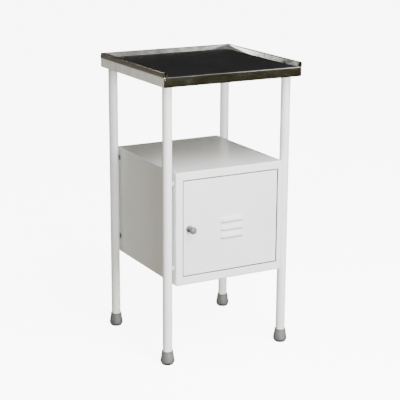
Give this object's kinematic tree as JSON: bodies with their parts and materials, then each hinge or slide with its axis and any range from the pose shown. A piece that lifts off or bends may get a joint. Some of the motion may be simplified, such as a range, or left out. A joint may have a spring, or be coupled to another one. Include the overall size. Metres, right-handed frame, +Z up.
{
  "type": "bedside cabinet",
  "caption": "Ward bedside cabinet on tube legs: a sheet metal cupboard with a louvred hinged door, below an open space and a dark tray top with a steel rim on three sides.",
  "frame": {"origin": "on the floor, under the middle of the overall box (knob tip to tray back)", "axes": "+Z up, -Y out of the door, +X to the right of someone facing the door"},
  "size_m": [0.41, 0.4, 0.7955],
  "materials": {
    "leg_enamel": "semi-gloss white enamel",
    "cupboard_enamel": "gloss white enamel",
    "polished_steel": "polished stainless sheet",
    "zinc_steel": "bright zinc plate",
    "black_laminate": "gloss black laminate",
    "board_core": "bare board",
    "foot_vinyl": "matt grey vinyl",
    "satin_knob": "satin grey metal",
    "catch_plastic": "moulded off-white plastic",
    "magnet_ferrite": "bare ferrite"
  },
  "bodies": {
    "frame": {"front_left_leg": "leg_enamel", "front_left_leg_plate": "leg_enamel", "front_left_foot": "foot_vinyl", "front_left_lower_spacer": "leg_enamel", "front_left_lower_bolt": "zinc_steel", "front_left_upper_spacer": "leg_enamel", "front_left_upper_bolt": "zinc_steel", "front_right_leg": "leg_enamel", "front_right_leg_plate": "leg_enamel", "front_right_foot": "foot_vinyl", "front_right_lower_spacer": "leg_enamel", "front_right_lower_bolt": "zinc_steel", "front_right_upper_spacer": "leg_enamel", "front_right_upper_bolt": "zinc_steel", "back_left_leg": "leg_enamel", "back_left_leg_plate": "leg_enamel", "back_left_foot": "foot_vinyl", "back_left_lower_spacer": "foot_vinyl", "back_left_lower_bolt": "zinc_steel", "back_left_upper_spacer": "foot_vinyl", "back_left_upper_bolt": "zinc_steel", "back_right_leg": "leg_enamel", "back_right_leg_plate": "leg_enamel", "back_right_foot": "foot_vinyl", "back_right_lower_spacer": "foot_vinyl", "back_right_lower_bolt": "zinc_steel", "back_right_upper_spacer": "foot_vinyl", "back_right_upper_bolt": "zinc_steel", "tray_board": "board_core", "tray_surface": "black_laminate", "front_trim": "polished_steel", "left_apron": "polished_steel", "right_apron": "polished_steel", "back_apron": "polished_steel", "left_rim": "polished_steel", "right_rim": "polished_steel", "back_rim": "polished_steel", "cupboard_top": "cupboard_enamel", "cupboard_bottom": "cupboard_enamel", "cupboard_left_side": "cupboard_enamel", "cupboard_right_side": "cupboard_enamel", "cupboard_back": "cupboard_enamel", "left_stile": "cupboard_enamel", "right_stile": "cupboard_enamel", "top_rail": "cupboard_enamel", "bottom_rail": "cupboard_enamel", "upper_pivot_pin": "zinc_steel", "lower_pivot_pin": "zinc_steel", "pivot_washer": "foot_vinyl", "catch_bracket": "zinc_steel", "catch_housing": "catch_plastic", "catch_magnet": "magnet_ferrite"},
    "door": {"door_panel": "cupboard_enamel", "catch_striker": "zinc_steel", "knob_rose": "satin_knob", "knob": "satin_knob", "knob_screw": "zinc_steel"}
  },
  "joints": [
    {"name": "door_hinge", "type": "hinge", "parent": "frame", "child": "door", "pos_m": [0.1396, -0.165, 0.2472], "axis": [0, 0, 1], "range_deg": [0, 110]}
  ]
}
